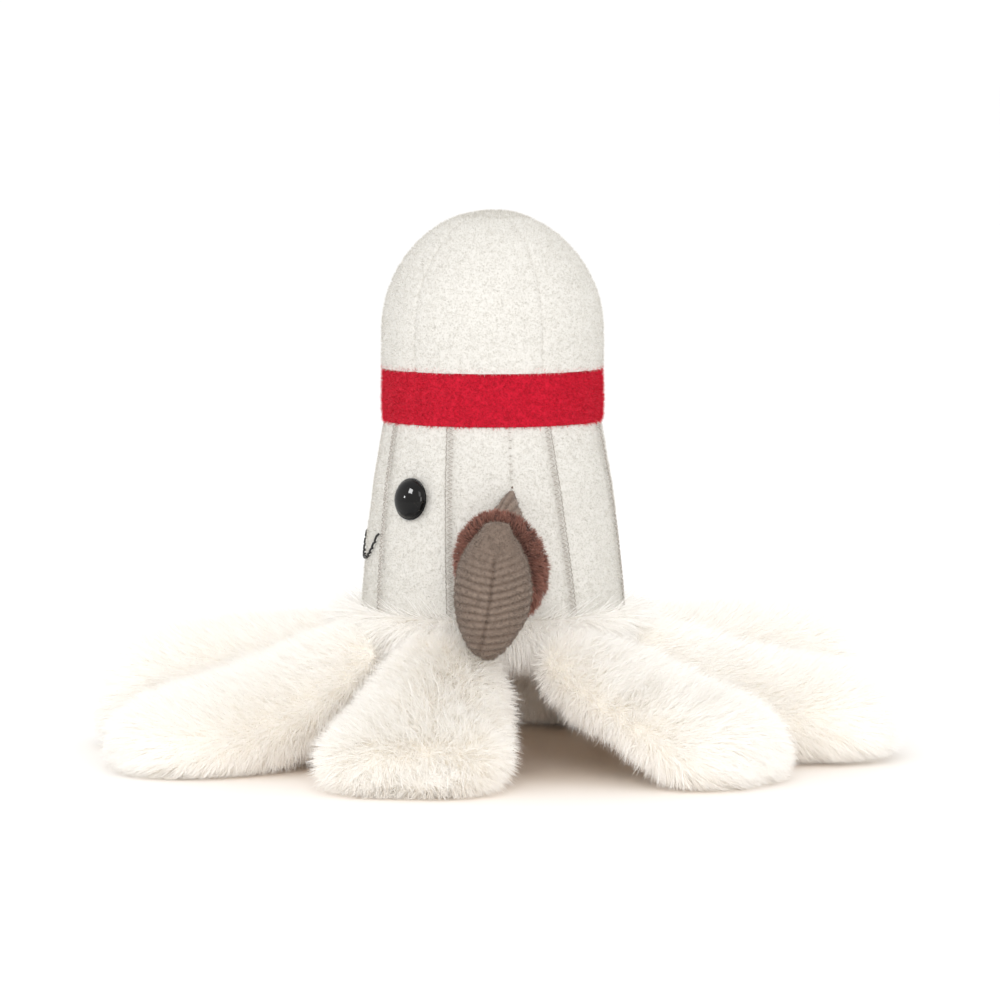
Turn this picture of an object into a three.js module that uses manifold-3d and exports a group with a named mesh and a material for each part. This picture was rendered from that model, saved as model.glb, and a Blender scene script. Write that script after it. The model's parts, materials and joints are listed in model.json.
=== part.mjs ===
// A soft standing toy in the form of an upturned shuttlecock, in millimetres, +Z up.
// A domed cap sits on a red band and a stitched cone. Eight stuffed feathers splay out on the
// floor from the cone's hem, and a short arm hangs from each side seam. The face looks along -Y.
// The origin is on the floor under the body's axis, which is the middle of the bounding box.
import * as THREE from 'three';
import { mergeVertices } from 'three/addons/utils/BufferGeometryUtils.js';
import Module from 'manifold-3d';

const wasm = await Module();
wasm.setup();

// ---- driving dimensions ----
const GAP = 0.3;                 // clearance between pieces that touch
const SEAM_GAP = 0.5;            // between two panels at a sewn seam, degrees each side
const TOP_Z = 164.5;             // top of the cap
const CAP_R = 33.4;
const CAP_SPRING_Z = 127.5;      // the cap is straight below this and a dome above it
const BAND_TOP_Z = 118.0;
const BAND_BOTTOM_Z = 101.4;
const BAND_R = 32.8;
const HEM_Z = 45;
const CLOTH = 1.4;               // plush fabric with its pile pressed
const CONE_OUTER = [[33.0, 101.1], [34.6, 92], [36.2, 83], [38.2, 66], [39.4, 53], [39.8, HEM_Z]];
const SIDES = 48;                // steps round the body
const FIRST_CAP_SEAM = 36;       // five gores, with a seam down the middle of the back
const CAP_GORES = 5;
const QUILL_W = 2.6;
const QUILL_PROUD = 0.7;
const EYE_R = 6.3;
const EYE_ANGLE = 41;            // either side of the middle of the face, degrees
const EYE_Z = 79.6;
const SMILE_HALF_ANGLE = 16.5;
const SMILE_END_Z = 68.0;
const SMILE_DROP = 7.8;
const SMILE_W = 1.1;

// Each feather: the place of its root on the hem and the place of its tip, as angles in degrees
// from the middle of the face towards +X, and the tip's distance from the body's axis. A plumper one
// is raised, an arched one stands off the floor under its middle, and both are heights. Its quill
// stitching runs down the cone between two more angles, at the band and at the hem.
const FEATHERS = [
  { root: 21, tip: 13, reach: 112, raised: 1, arched: 0, quill: [20, 23] },
  { root: 64, tip: 66, reach: 105, raised: 0, arched: 0, quill: [59, 63] },
  { root: 111, tip: 126, reach: 106, raised: 3, arched: 10, quill: [110, 118] },
  { root: 157, tip: 167, reach: 113, raised: 2, arched: 0, quill: [154, 164] },
  { root: 203, tip: 201, reach: 117, raised: 12, arched: 4, quill: [203, 203] },
  { root: 249, tip: 244, reach: 106, raised: 0, arched: 0, quill: [249, 249] },
  { root: 296, tip: 293, reach: 106, raised: 0, arched: 0, quill: [296, 296] },
  { root: 339, tip: 338, reach: 115, raised: 12, arched: 4, quill: [341, 338] },
];
const ROOT_R = 42;               // the feathers' inner ends, from the body's axis
// Down a feather: share of its length, half width, top, underside, and how much of its raising
// and arching it has there.
const FEATHER_STATIONS = [
  [0.00, 13.2, 43.4, 27.0, 0.00, 0.00],
  [0.08, 15.8, 42.2, 20.5, 0.00, 0.20],
  [0.22, 18.6, 37.0, 11.0, 0.25, 0.70],
  [0.38, 21.0, 31.0, 4.8, 0.60, 1.00],
  [0.54, 23.6, 26.0, 0.8, 0.90, 1.00],
  [0.70, 25.6, 22.0, 0.0, 1.00, 0.55],
  [0.85, 24.4, 18.8, 0.0, 1.00, 0.00],
  [0.95, 19.0, 15.6, 0.0, 0.75, 0.00],
  [1.00, 10.8, 12.0, 1.8, 0.40, 0.00],
];
const FEATHER_POINTS = 16;

const ARM_Z = 68;                // middle of the sleeve's sewn end
const SLEEVE_TALL = 16.5;        // half the sewn end's height
const SLEEVE_THIN = 2.0;         // half its thickness
const SLEEVE_CLEAR = 0.9;        // between it and the cone, so that the arm can swing
const SLEEVE_R = 11.6;           // at the cuff
const SLEEVE_LONG = 15;
const CUFF_R = 14.2;
const CUFF_LONG = 6.4;
const ARM_SHIFT = 1.3;           // the arm's middle line, towards the back from the side seam
const ARM_WAY = [0.854, -0.457, -0.244];
// Down a mitten: height, half width, half depth, distance out from the axis, place along Y.
const MITTEN = [
  [76.6, 1.8, 1.8, 60.4, -7.9],
  [75.4, 3.4, 3.2, 60.5, -8.0],
  [72.2, 5.4, 5.2, 60.8, -8.5],
  [68.0, 8.2, 7.8, 61.2, -9.2],
  [63.8, 10.3, 9.4, 61.5, -9.5],
  [56.0, 11.7, 10.6, 61.8, -9.5],
  [50.0, 11.0, 10.2, 61.8, -9.9],
  [46.5, 10.0, 9.4, 61.8, -10.2],
  [41.2, 7.4, 7.0, 61.7, -11.0],
  [37.4, 4.6, 4.2, 61.7, -11.3],
  [35.6, 2.2, 2.0, 61.7, -11.4],
];
const MITTEN_POINTS = 20;

const FLEECE = { color: 0xf1ece4, roughness: 0.95, metalness: 0 };
const RED = { color: 0xc8203a, roughness: 0.9, metalness: 0 };
const FUR = { color: 0xf7f4ee, roughness: 1, metalness: 0 };
const LINING = { color: 0xcdb9a2, roughness: 0.95, metalness: 0 };
const CORDUROY = { color: 0x85766a, roughness: 0.9, metalness: 0 };
const BROWN_FUR = { color: 0x6b4a3e, roughness: 1, metalness: 0 };
const EYE_BLACK = { color: 0x0b0b0c, roughness: 0.15, metalness: 0 };
const THREAD = { color: 0xd9d3cb, roughness: 0.8, metalness: 0 };
const BLACK_THREAD = { color: 0x151414, roughness: 0.8, metalness: 0 };
const STUFFING = { color: 0xfafafa, roughness: 1, metalness: 0 };
const BEANS = { color: 0xe6e0d4, roughness: 0.9, metalness: 0 };
const WASHER = { color: 0xe9e9e6, roughness: 0.6, metalness: 0 };

const toy = new THREE.Group();

const rad = THREE.MathUtils.degToRad;

/** Adds a named piece with its own material. */
function addPiece(parent, name, geometry, look) {
  const mesh = new THREE.Mesh(geometry, new THREE.MeshStandardMaterial(look));
  mesh.name = name;
  parent.add(mesh);
  return mesh;
}

/** Direction on the floor for an angle measured from the face (-Y) towards +X. */
function heading(degrees) {
  return new THREE.Vector3(Math.sin(rad(degrees)), -Math.cos(rad(degrees)), 0);
}

/** The cone's outside radius at a height. */
function coneRadius(z) {
  const below = CONE_OUTER.findIndex(([, height], i) => i > 0 && z >= height);
  const i = below < 0 ? CONE_OUTER.length - 1 : below;
  const [r0, z0] = CONE_OUTER[i - 1];
  const [r1, z1] = CONE_OUTER[i];
  return THREE.MathUtils.mapLinear(z, z0, z1, r0, r1);
}

/** Closed solid through rings of points, each the same length, with a fan over each end. */
function loft(rings) {
  const steps = rings[0].length;
  const ends = [rings[0], rings.at(-1)].map((ring) => ring
    .reduce((sum, p) => sum.add(p), new THREE.Vector3()).divideScalar(steps));
  const points = [...rings.flat(), ...ends];
  const fan = rings.length * steps;
  const index = [];
  for (let k = 0; k < steps; k += 1) {
    const next = (k + 1) % steps;
    for (let row = 0; row + 1 < rings.length; row += 1) {
      const a = row * steps + k;
      const b = row * steps + next;
      index.push(a, b, b + steps, a, b + steps, a + steps);
    }
    index.push(fan, next, k);
    index.push(fan + 1, fan - steps + k, fan - steps + next);
  }
  let volume = 0;
  for (let i = 0; i < index.length; i += 3) {
    const [a, b, c] = index.slice(i, i + 3).map((n) => points[n]);
    volume += a.dot(b.clone().cross(c));
  }
  const geometry = new THREE.BufferGeometry().setFromPoints(points);
  geometry.setIndex(volume > 0 ? index : index.reverse());
  return geometry;
}

/** A body of revolution about Z from (radius, height) points. */
function turned(points, sides = SIDES) {
  const profile = points.map(([r, z]) => new THREE.Vector2(r, z));
  return new THREE.LatheGeometry(profile, sides).rotateX(Math.PI / 2);
}

/** A geometry as a solid, for joining and cutting. */
function solid(geometry) {
  const bare = geometry.clone();
  bare.deleteAttribute('normal');
  bare.deleteAttribute('uv');
  const merged = mergeVertices(bare, 1e-4);
  return new wasm.Manifold(new wasm.Mesh({
    numProp: 3,
    vertProperties: merged.attributes.position.array,
    triVerts: new Uint32Array(merged.index.array),
  }));
}

/** A solid back as a geometry. */
function geometryOf(manifold) {
  const mesh = manifold.getMesh();
  const geometry = new THREE.BufferGeometry();
  geometry.setAttribute('position', new THREE.Float32BufferAttribute(mesh.vertProperties, 3));
  geometry.setIndex(new THREE.Uint32BufferAttribute(mesh.triVerts, 1));
  return geometry;
}

/** A tall wedge that holds what lies between two headings. */
function wedge(from, to) {
  const reach = 300;
  const steps = 6;
  const shape = new THREE.Shape();
  shape.moveTo(0, 0);
  for (let i = 0; i <= steps; i += 1) {
    const at = heading(THREE.MathUtils.lerp(from, to, i / steps)).multiplyScalar(reach);
    shape.lineTo(at.x, at.y);
  }
  shape.closePath();
  return solid(new THREE.ExtrudeGeometry(shape, { depth: reach, bevelEnabled: false }));
}

/** Closed profile of a wall of one thickness under its outside line, which runs downwards. */
function wall(outside) {
  const inside = outside.map(([r, z]) => [r - CLOTH, z]);
  return [...inside, ...outside.slice().reverse(), inside[0]];
}

/** The cap's outline from its straight side to its top, inset from the outside. */
function capOutline(inset) {
  const steps = 9;
  return Array.from({ length: steps + 1 }, (_, i) => {
    const a = (i / steps) * (Math.PI / 2);
    const r = i === steps ? 0 : (CAP_R - inset) * Math.cos(a);
    return [r, CAP_SPRING_Z + (TOP_Z - inset - CAP_SPRING_Z) * Math.sin(a)];
  });
}

/** A frame on the cone's surface: X across, Y up the slope, Z out of the cloth. */
function onCone(angle, z) {
  const slope = (coneRadius(z - 6) - coneRadius(z + 6)) / 12;
  const out = heading(angle);
  const frame = new THREE.Group();
  frame.position.copy(out).multiplyScalar(coneRadius(z)).setZ(z);
  frame.lookAt(frame.position.clone().add(out).setZ(z + slope));
  return frame;
}

// ---- cap, band and cone panels ----
function makeCap() {
  const bottom = BAND_TOP_Z + GAP;
  const outline = [
    [CAP_R - CLOTH, bottom], [CAP_R, bottom], ...capOutline(0), ...capOutline(CLOTH).reverse(),
    [CAP_R - CLOTH, bottom],
  ];
  const shell = solid(turned(outline));
  const step = 360 / CAP_GORES;
  for (let k = 0; k < CAP_GORES; k += 1) {
    const seam = FIRST_CAP_SEAM + k * step;
    const gore = shell.intersect(wedge(seam + SEAM_GAP, seam + step - SEAM_GAP));
    addPiece(toy, `cap_gore_${k + 1}`, geometryOf(gore), FLEECE);
  }
}

function makeBand() {
  const middle = (BAND_TOP_Z + BAND_BOTTOM_Z) / 2;
  const outside = [[BAND_R, BAND_TOP_Z], [BAND_R + GAP, middle], [BAND_R, BAND_BOTTOM_Z]];
  addPiece(toy, 'red_band', turned(wall(outside)), RED);
}

/** A short cylinder along an eye's axis, for the holes that its stem and washer need. */
function eyePocket(eye, r, from, to) {
  const profile = [[0, from], [r, from], [r, to], [0, to]];
  return solid(turned(profile, 16).applyMatrix4(eye.matrixWorld));
}

function makeEyes() {
  return [['left', 1], ['right', -1]].map(([side, sign]) => {
    const eye = onCone(sign * EYE_ANGLE, EYE_Z);
    toy.add(eye);
    const dome = [
      [0, -6], [1.8, -6], [1.8, 0.7], [EYE_R - 0.5, 0.7], [EYE_R, 1.2], [EYE_R * 0.94, 2.1],
      [EYE_R * 0.76, 3.3], [EYE_R * 0.44, 4.3], [0, 4.7],
    ];
    addPiece(eye, `eye_${side}`, turned(dome, 24), EYE_BLACK);
    const washer = [[2.1, -3.8], [6.6, -3.8], [6.6, -2.4], [2.1, -2.4], [2.1, -3.8]];
    addPiece(eye, `eye_washer_${side}`, turned(washer, 24), WASHER);
    eye.updateMatrix();
    eye.matrixWorld.copy(eye.matrix);
    return eye;
  });
}

function makeCone(eyes) {
  const shell = solid(turned(wall(CONE_OUTER)));
  const holes = eyes.map((eye) => eyePocket(eye, 2.1, -8, 3));
  const front = holes.reduce(
    (panel, hole) => panel.subtract(hole),
    shell.intersect(wedge(-90 + SEAM_GAP, 90 - SEAM_GAP)),
  );
  const back = shell.intersect(wedge(90 + SEAM_GAP, 270 - SEAM_GAP));
  addPiece(toy, 'cone_front_panel', geometryOf(front), FLEECE);
  addPiece(toy, 'cone_back_panel', geometryOf(back), FLEECE);
}

// ---- what is inside and underneath ----
function makeInside(eyes) {
  const inset = CLOTH + GAP;
  const low = HEM_Z + 13;
  const outline = [
    [0, low], [coneRadius(low) - inset, low],
    ...CONE_OUTER.filter(([, z]) => z > low).reverse().map(([r, z]) => [r - inset, z]),
    [BAND_R - inset, BAND_BOTTOM_Z + 1], [BAND_R - inset, BAND_TOP_Z],
    ...capOutline(inset),
  ];
  const pockets = eyes.map((eye) => eyePocket(eye, 7.2, -7, 3));
  const filling = pockets.reduce((part, pocket) => part.subtract(pocket), solid(turned(outline, 32)));
  addPiece(toy, 'body_stuffing', geometryOf(filling), STUFFING);
  const r = coneRadius(HEM_Z) - inset - 1;
  addPiece(toy, 'bean_pouch', turned([
    [0, HEM_Z + 2], [r - 2, HEM_Z + 2], [r, HEM_Z + 4], [r - 0.6, low - 2], [r - 2.6, low - GAP],
    [0, low - GAP],
  ], 32), BEANS);
  addPiece(toy, 'base_panel', turned([
    [0, HEM_Z - 2.6], [30, HEM_Z - 2.2], [38.4, HEM_Z - 1.7], [38.4, HEM_Z - GAP],
    [0, HEM_Z - GAP],
  ], 32), LINING);
}

// ---- stitching ----
function makeQuills() {
  FEATHERS.forEach(({ quill: [high, low] }, i) => {
    const rows = [47.5, 60, 74, 88, 99.8].map((z) => {
      const out = heading(low + (high - low) * ((z - HEM_Z) / (BAND_BOTTOM_Z - HEM_Z)));
      const across = new THREE.Vector3(-out.y, out.x, 0);
      const near = coneRadius(z) + GAP;
      const section = [[0, -1], [QUILL_PROUD, -0.55], [QUILL_PROUD, 0.55], [0, 1]];
      return section.map(([proud, side]) => out.clone().multiplyScalar(near + proud)
        .addScaledVector(across, side * QUILL_W / 2).setZ(z));
    });
    addPiece(toy, `quill_stitch_${i + 1}`, loft(rows), THREAD);
  });
}

function makeSmile() {
  const steps = 12;
  const at = (t, proud) => {
    const z = SMILE_END_Z - SMILE_DROP * (1 - t ** 2);
    return heading(t * SMILE_HALF_ANGLE).multiplyScalar(coneRadius(z) + GAP * 2 + proud).setZ(z);
  };
  const rings = Array.from({ length: steps + 1 }, (_, i) => {
    const t = (i / steps) * 2 - 1;
    const along = at(t + 0.01, 0).sub(at(t - 0.01, 0)).normalize();
    const across = heading(t * SMILE_HALF_ANGLE).cross(along);
    return [[0, -1], [0.7, -1], [0.7, 1], [0, 1]].map(([proud, side]) => (
      at(t, proud).addScaledVector(across, side * SMILE_W / 2)));
  });
  addPiece(toy, 'smile_stitch', loft(rings), BLACK_THREAD);
}

// ---- feathers ----
/** One cross-section: a pillow, pressed flat below where it rests on the floor. */
function featherRing(x, half, top, bottom) {
  const middle = bottom + (top - bottom) * 0.4;
  return Array.from({ length: FEATHER_POINTS }, (_, k) => {
    const a = ((k + 0.5) / FEATHER_POINTS) * Math.PI * 2;
    const c = Math.cos(a);
    const s = Math.sin(a);
    const y = half * Math.sign(c) * Math.abs(c) ** 0.85;
    const z = s > 0
      ? middle + (top - middle) * s ** 0.9
      : middle - (middle - bottom) * Math.min(1, -s * 1.25);
    return new THREE.Vector3(x, y, z);
  });
}

function makeFeathers() {
  FEATHERS.forEach(({ root, tip, reach, raised, arched }, i) => {
    const at = heading(root).multiplyScalar(ROOT_R);
    const along = heading(tip).multiplyScalar(reach).sub(at);
    const long = along.length();
    const rings = FEATHER_STATIONS.map(([share, half, top, bottom, up, arch]) => (
      featherRing(share * long, half, top + up * raised, bottom + arch * arched)));
    const piece = addPiece(toy, `feather_${i + 1}`, loft(rings), FUR);
    piece.position.copy(at);
    piece.rotation.z = Math.atan2(along.y, along.x);
  });
}

// ---- arms ----
/** An oval ring across a direction. */
function ovalRing(centre, u, v, a, b, count = MITTEN_POINTS) {
  return Array.from({ length: count }, (_, k) => {
    const t = (k / count) * Math.PI * 2;
    return centre.clone().addScaledVector(u, a * Math.cos(t)).addScaledVector(v, b * Math.sin(t));
  });
}

function makeArms() {
  const way = new THREE.Vector3(...ARM_WAY).normalize();
  const flat = new THREE.Vector3(0, 0, 1).cross(way).normalize();
  const up = way.clone().cross(flat);
  const root = new THREE.Vector3(coneRadius(ARM_Z), ARM_SHIFT, ARM_Z);
  const down = (distance) => root.clone().addScaledVector(way, distance);
  const hoop = (distance, r) => ovalRing(down(distance), flat, up, r, r * 1.06);
  const seam = hoop(0, 1).map((_, k) => {
    const t = (k / MITTEN_POINTS) * Math.PI * 2;
    const z = ARM_Z + SLEEVE_TALL * Math.sin(t);
    return new THREE.Vector3(coneRadius(z) + SLEEVE_CLEAR, SLEEVE_THIN * Math.cos(t), z);
  });
  const half = hoop(SLEEVE_LONG * 0.55, SLEEVE_R * 0.97)
    .map((p, k) => p.lerp(seam[k].clone().addScaledVector(way, SLEEVE_LONG * 0.5), 0.3));
  const cuffEnd = SLEEVE_LONG + GAP + CUFF_LONG;
  const sleeve = loft([seam, half, hoop(SLEEVE_LONG, SLEEVE_R)]);
  const cuff = loft([
    hoop(SLEEVE_LONG + GAP, CUFF_R - 2.6), hoop(SLEEVE_LONG + GAP + 1.6, CUFF_R),
    hoop(cuffEnd - 1.6, CUFF_R), hoop(cuffEnd, CUFF_R - 2.6),
  ]);
  const east = new THREE.Vector3(1, 0, 0);
  const north = new THREE.Vector3(0, 1, 0);
  const whole = solid(loft(MITTEN.map(([z, wide, deep, x, y]) => (
    ovalRing(new THREE.Vector3(x, y, z), east, north, deep, wide)))));
  const behind = solid(loft([-60, cuffEnd + GAP].map((distance) => (
    ovalRing(down(distance), flat, up, 60, 60)))));
  const mitten = geometryOf(whole.subtract(behind));
  [['left', 1], ['right', -1]].forEach(([side, sign]) => {
    [['sleeve', sleeve, CORDUROY], ['cuff', cuff, BROWN_FUR], ['mitten', mitten, CORDUROY]]
      .forEach(([part, geometry, look]) => {
        const own = geometry.clone();
        if (sign < 0) {
          own.scale(-1, 1, 1);
          own.setIndex(Array.from(own.index.array).reverse());
        }
        addPiece(toy, `arm_${side}_${part}`, own, look);
      });
  });
}

makeCap();
makeBand();
const eyes = makeEyes();
makeCone(eyes);
makeInside(eyes);
makeQuills();
makeSmile();
makeFeathers();
makeArms();

export default toy;
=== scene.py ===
# %% [markdown]
# # A plush shuttlecock toy, piece by piece
# This lesson dresses a packed toy in cloth and fur. The toy is an upturned shuttlecock: a domed cap of
# five gores, a red band, a stitched cone with a face, eight long-haired feathers that lie splayed on
# the floor, and two short corduroy arms.

# %% The frame and the tools
import json
import math
import time

import bmesh
import bpy
import numpy as np
from mathutils import Matrix, Vector, noise


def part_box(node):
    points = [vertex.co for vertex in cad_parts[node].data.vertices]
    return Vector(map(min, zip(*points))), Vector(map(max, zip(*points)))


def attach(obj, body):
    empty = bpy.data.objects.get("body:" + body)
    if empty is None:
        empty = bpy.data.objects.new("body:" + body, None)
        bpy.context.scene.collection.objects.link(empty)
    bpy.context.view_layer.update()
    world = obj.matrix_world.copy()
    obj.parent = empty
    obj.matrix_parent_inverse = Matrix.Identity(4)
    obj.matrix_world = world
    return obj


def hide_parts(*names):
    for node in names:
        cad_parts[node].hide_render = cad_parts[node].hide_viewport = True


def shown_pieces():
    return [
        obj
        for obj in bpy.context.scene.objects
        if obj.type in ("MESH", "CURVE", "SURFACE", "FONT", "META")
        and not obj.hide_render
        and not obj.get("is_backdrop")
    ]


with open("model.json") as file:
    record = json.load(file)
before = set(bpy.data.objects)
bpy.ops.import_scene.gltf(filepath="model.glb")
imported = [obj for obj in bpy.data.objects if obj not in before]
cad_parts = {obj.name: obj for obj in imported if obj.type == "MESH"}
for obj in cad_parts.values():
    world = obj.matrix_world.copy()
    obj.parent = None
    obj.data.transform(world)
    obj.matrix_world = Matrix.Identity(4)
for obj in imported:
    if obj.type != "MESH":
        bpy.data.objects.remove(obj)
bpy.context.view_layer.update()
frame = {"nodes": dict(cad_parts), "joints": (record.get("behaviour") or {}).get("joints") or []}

MM = 0.001
UP = Vector((0, 0, 1))
began = time.time()
scene = bpy.context.scene

# %% [markdown]
# ## The measures of the pattern
# A soft-toy maker works from a pattern, so the few sizes that the pieces share stand here once. Heights
# are above the floor and radii are from the body's axis. They are the solids' own driving dimensions.

# %% Shared measures
CAP_R, CAP_TOP, CAP_SPRING = 33.4 * MM, 164.5 * MM, 127.5 * MM
BAND_TOP, BAND_LOW, BAND_R = 118.0 * MM, 101.4 * MM, 32.8 * MM
CONE = [(33.0, 101.1), (34.6, 92), (36.2, 83), (38.2, 66), (39.4, 53), (39.8, 45)]
CAP_SEAM, GORES = 36, 5
QUILLS = ((20, 23), (59, 63), (110, 118), (154, 164), (203, 203), (249, 249), (296, 296), (341, 338))
EYE_ANGLE, EYE_Z, EYE_R = 41, 79.6 * MM, 6.3 * MM
WALL = 1.3 * MM


def cone_radius(z):
    """The cone's outside radius at a height."""
    heights = [h * MM for _, h in reversed(CONE)]
    return float(np.interp(z, heights, [r * MM for r, _ in reversed(CONE)]))


def heading(degrees):
    """The way out from the axis at an angle from the face, counted towards the toy's left."""
    a = math.radians(degrees)
    return Vector((math.sin(a), -math.cos(a), 0))


def degrees_of(p):
    """The heading of a point."""
    return math.degrees(math.atan2(p.x, -p.y)) % 360


def off_angle(a, b):
    """The angle between two headings, at most 180."""
    return abs((a - b + 180) % 360 - 180)


def quill_angle(quill, z):
    """The heading of a quill's line at a height: it has one at the band and one at the hem."""
    high, low = quill
    return low + (high - low) * (z - 45 * MM) / (BAND_LOW - 45 * MM)


print("cone radius at the eyes", round(cone_radius(EYE_Z) * 1000, 1), "mm")

# %% [markdown]
# ## The camera and the light
# A long lens from a couple of metres keeps the toy's proportions calm, as a product picture does. The
# studio is bright all round: a nearly white world gives the soft fill, and a large area light from the
# camera's side shapes the forms. A low fill reaches under the feathers. Two small lamps only mirror in
# the eyes. The floor is so pale that it melts into the background and only the shadow under the
# feathers shows.

# %% Camera, floor and lamps
VIEW_AZIMUTH, VIEW_FAR, VIEW_HIGH, FOCAL = 81, 1.77, 0.230, 212.4
LOOK_AT = Vector((0.00035, 0.0022, 0.077))
BOUNCES = 24

spot = heading(VIEW_AZIMUTH) * VIEW_FAR + UP * VIEW_HIGH
lens = bpy.data.cameras.new("camera")
lens.sensor_width, lens.lens = 36, FOCAL
lens.clip_start, lens.clip_end = 0.05, 200
camera = bpy.data.objects.new("camera", lens)
camera.location = spot
camera.rotation_euler = (LOOK_AT - spot).to_track_quat("-Z", "Y").to_euler()
scene.collection.objects.link(camera)
scene.camera = camera
scene.view_settings.view_transform = "Standard"
scene.cycles.max_bounces = scene.cycles.diffuse_bounces = BOUNCES


def lamp(name, place, aim, size, power, colour=(1, 1, 1), only_mirrored=False):
    """A square area light that looks at a point. One that is only mirrored adds no light to cloth."""
    data = bpy.data.lights.new(name, "AREA")
    data.shape, data.size, data.energy, data.color = "SQUARE", size, power, colour
    lit = bpy.data.objects.new(name, data)
    lit.location = place
    lit.rotation_euler = (Vector(aim) - Vector(place)).to_track_quat("-Z", "Y").to_euler()
    lit.visible_diffuse = not only_mirrored
    scene.collection.objects.link(lit)
    return lit


lamp("key", (2.2, -0.6, 1.4), (0, 0, 0.07), 1.0, 12, (1.0, 0.99, 0.98))
lamp("low fill", (2.3, -0.1, 0.42), (0, 0, 0.03), 0.7, 10, (1.0, 0.96, 0.92))
lamp("window in the eye", (0.60, -2.24, 1.26), (0, 0, 0.08), 0.62, 40, only_mirrored=True)
lamp("glint in the eye", (-0.09, -2.57, 0.47), (0, 0, 0.08), 0.18, 4, only_mirrored=True)
world = bpy.data.worlds.new("studio")
world.use_nodes = True
world.node_tree.nodes["Background"].inputs["Color"].default_value = (1.0, 0.995, 0.985, 1)
world.node_tree.nodes["Background"].inputs["Strength"].default_value = 1.045
scene.world = world

floor_bm = bmesh.new()
bmesh.ops.create_grid(floor_bm, x_segments=1, y_segments=1, size=12)
floor_mesh = bpy.data.meshes.new("floor")
floor_bm.to_mesh(floor_mesh)
floor = bpy.data.objects.new("floor", floor_mesh)
scene.collection.objects.link(floor)
floor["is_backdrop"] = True
print("camera", [round(x, 3) for x in camera.location])

# %% [markdown]
# ## Small helpers
# Three helpers keep the cells short. One adds a shader node and links or sets its inputs, one turns a
# bmesh into a piece that rides on a body, and one spins a wall's outline round the axis. A spun wall is
# a closed loop of points, so each panel comes out as a solid with a thickness, like real cloth.

# %% Helpers for materials and pieces


def add(tree, kind, inputs=None, **settings):
    """A shader node: inputs are values or other nodes' outputs, by name or number."""
    made = tree.nodes.new(kind)
    for key, value in settings.items():
        setattr(made, key, value)
    for key, value in (inputs or {}).items():
        if isinstance(value, bpy.types.NodeSocket):
            tree.links.new(value, made.inputs[key])
        else:
            made.inputs[key].default_value = value
    return made


def finish_of(name, roughness, sheen=0.0, sheen_roughness=0.5, specular=0.5):
    """A material with its constant values on the shader's own sockets."""
    mat = bpy.data.materials.new(name)
    mat.use_nodes = True
    shader = mat.node_tree.nodes["Principled BSDF"]
    shader.inputs["Roughness"].default_value = roughness
    shader.inputs["Sheen Weight"].default_value = sheen
    shader.inputs["Sheen Roughness"].default_value = sheen_roughness
    shader.inputs["Specular IOR Level"].default_value = specular
    return mat, mat.node_tree, shader


def ramp(tree, factor, stops):
    """A colour ramp through (place, linear colour) stops."""
    made = tree.nodes.new("ShaderNodeValToRGB")
    tree.links.new(factor, made.inputs["Fac"])
    spare = made.color_ramp.elements
    for k, (place, colour) in enumerate(stops):
        stop = spare[k] if k < 2 else spare.new(place)
        stop.position, stop.color = place, (*colour, 1)
    return made.outputs["Color"]


def piece(name, bm, material, body, slot, replaces=()):
    """A bmesh as a piece of the toy."""
    mesh = bpy.data.meshes.new(name)
    bm.to_mesh(mesh)
    bm.free()
    made = bpy.data.objects.new(name, mesh)
    scene.collection.objects.link(made)
    mesh.shade_smooth()
    mesh.set_sharp_from_angle(angle=math.radians(55))
    return dress(made, material, body, slot, replaces)


def dress(made, material, body, slot, replaces=()):
    """A finished object's material, body and the solids that it stands for. Its slot argument is not used."""
    made.data.materials.clear()
    made.data.materials.append(material)
    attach(made, body)
    if replaces:
        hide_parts(*replaces)
    return made


def spun(outline, start, sweep, steps):
    """A closed wall: an outline of (radius, height) points spun from one heading."""
    bm = bmesh.new()
    out = heading(start)
    verts = [bm.verts.new(out * r + UP * z) for r, z in outline]
    edges = [bm.edges.new(pair) for pair in zip(verts, verts[1:] + verts[:1])]
    bmesh.ops.spin(
        bm, geom=verts + edges, cent=(0, 0, 0), axis=(0, 0, 1), dvec=(0, 0, 0),
        angle=math.radians(sweep), steps=steps, use_merge=sweep == 360,
    )
    bmesh.ops.remove_doubles(bm, verts=bm.verts, dist=1e-6)
    bmesh.ops.holes_fill(bm, edges=bm.edges, sides=0)
    bmesh.ops.recalc_face_normals(bm, faces=bm.faces)
    in_order(bm)
    return bm


def in_order(bm):
    """Sorts the faces by their corners. Weld and fill leave them in an order that changes from run to
    run, and a coat picks its places by that order."""
    bm.verts.index_update()
    many = len(bm.verts)

    def rank(face):
        a, b, c = sorted(v.index for v in face.verts)[:3]
        return (a * many + b) * many + c

    bm.faces.sort(key=rank)


def walled(outside, inside_steps):
    """A closed outline from an outside line of (radius, height) points, top first."""
    thin = outside[:: max(1, len(outside) // inside_steps)]
    if thin[-1] != outside[-1]:
        thin.append(outside[-1])
    inner = [(max(r - WALL, 0.0), z - (WALL if r < WALL else 0)) for r, z in thin]
    return outside + inner[::-1]


def shift(bm, how, centre=None):
    """Moves each vertex away from the axis by how(vertex), and above a centre away from it."""
    for v in bm.verts:
        away = v.co - UP * v.co.z
        if centre is not None and v.co.z > centre:
            away = v.co - UP * centre
        v.co += away.normalized() * how(v)
    bm.normal_update()


# %% [markdown]
# ## A coat of fibres
# Pile is what makes plush look soft, and its edge against the light is the part that a flat shader
# can't give. So every pile here is made of real little blades. Points are scattered over a skin, each
# blade starts there along the skin's normal, leans the way the cloth was combed, and is drawn towards
# the nearest lock's tip. The map's V runs from root to tip and its U is a chance value for each blade.

# %% The coat


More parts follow.
